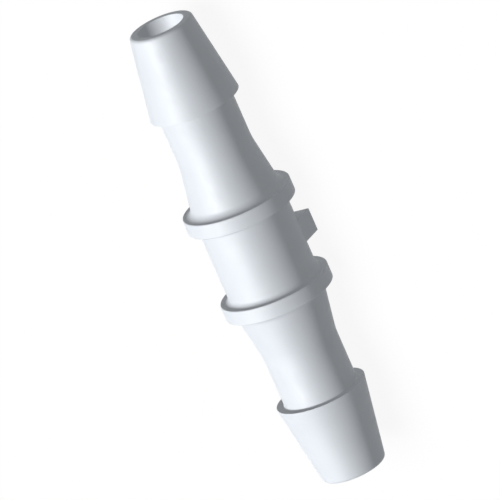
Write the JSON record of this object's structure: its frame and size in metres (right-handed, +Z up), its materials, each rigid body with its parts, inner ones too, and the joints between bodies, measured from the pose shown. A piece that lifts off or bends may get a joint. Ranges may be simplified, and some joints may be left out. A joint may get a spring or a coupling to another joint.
{
  "type": "hose barb connector",
  "caption": "Straight moulded connector with a hose barb at each end, two stop collars and a small wedge lug on the barrel between them.",
  "frame": {"origin": "middle of the bore, on its axis", "axes": "+X along the bore; +Z up with the connector lying on its side, on the rims of its two collars and the crest of its lug, which is below and towards -Y"},
  "size_m": [0.0422, 0.0096, 0.0096],
  "materials": {
    "moulded_plastic": "satin white injection-moulded plastic with a faint blue-grey cast"
  },
  "bodies": {
    "root": {"connector_body": "moulded_plastic"}
  },
  "joints": []
}
